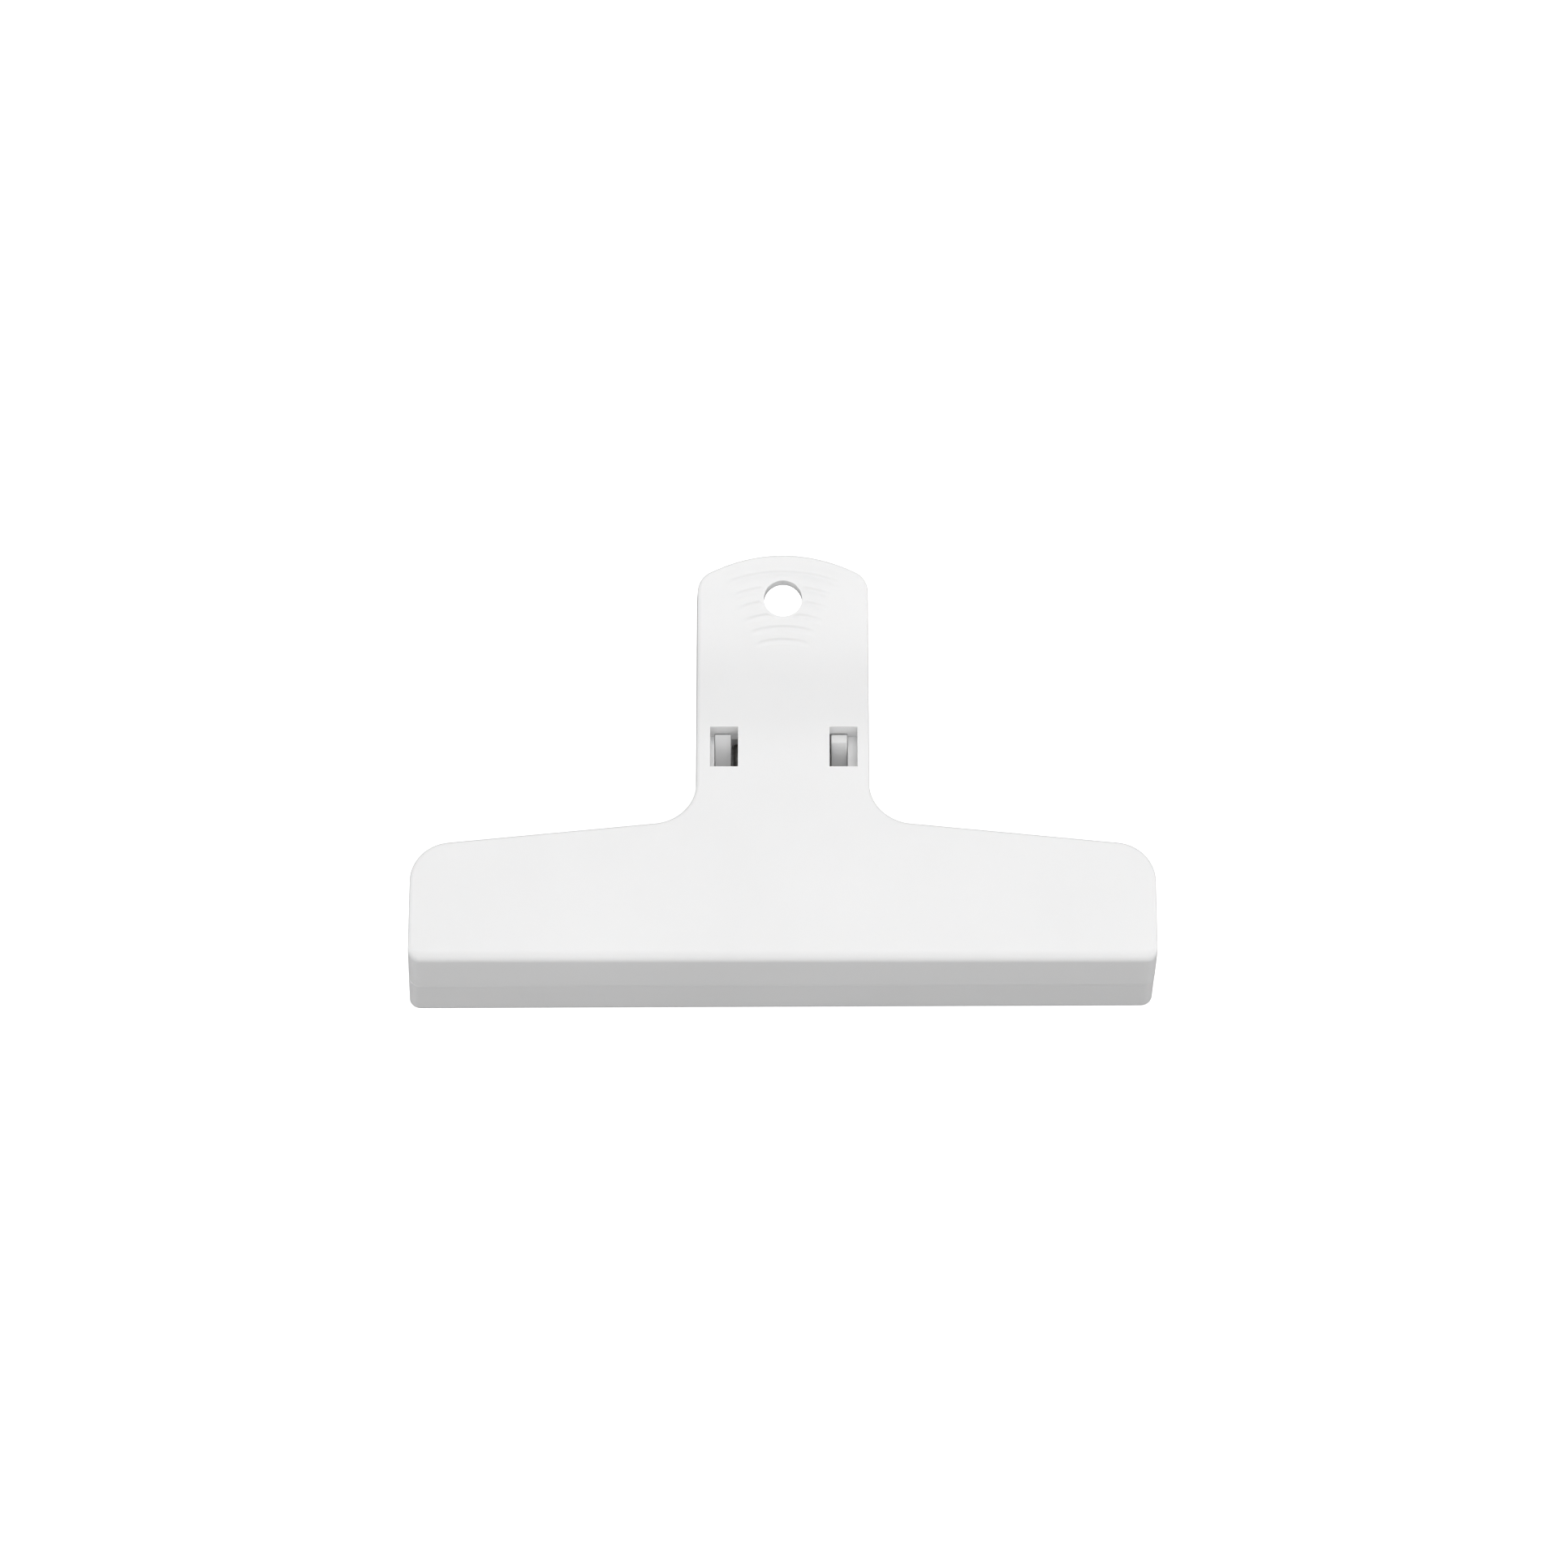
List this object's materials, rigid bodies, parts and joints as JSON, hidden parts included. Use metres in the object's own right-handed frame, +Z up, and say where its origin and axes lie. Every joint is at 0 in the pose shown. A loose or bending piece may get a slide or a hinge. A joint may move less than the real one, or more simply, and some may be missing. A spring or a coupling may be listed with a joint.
{
  "type": "spring bag clip",
  "caption": "Wide T-shaped plastic spring clip with a straight jaw, a squeeze handle with a hang hole, a hinge pin and a torsion spring.",
  "frame": {"origin": "middle of the clip's bounding box, on the surface that it lies on", "axes": "+X across the jaw, +Y from the lip towards the handle end, +Z up from the rear jaw face it lies on"},
  "size_m": [0.1022, 0.0634, 0.0243],
  "materials": {
    "white_plastic": "satin moulded, smooth",
    "zinc_plated_steel": "bright zinc plate",
    "spring_steel": "drawn wire, nickel plated"
  },
  "bodies": {
    "rear_jaw": {"rear_half": "white_plastic", "torsion_spring": "spring_steel"},
    "front_jaw": {"front_half": "white_plastic", "hinge_pin": "zinc_plated_steel"}
  },
  "joints": [
    {"name": "jaw_hinge", "type": "hinge", "parent": "rear_jaw", "child": "front_jaw", "pos_m": [0, 0.00097, 0.00989], "axis": [-1, 0, 0], "range_deg": [0, 31], "stiffness_Nm_per_rad": 0.12, "springref_deg": -68.75, "deforming": ["torsion_spring"]}
  ]
}
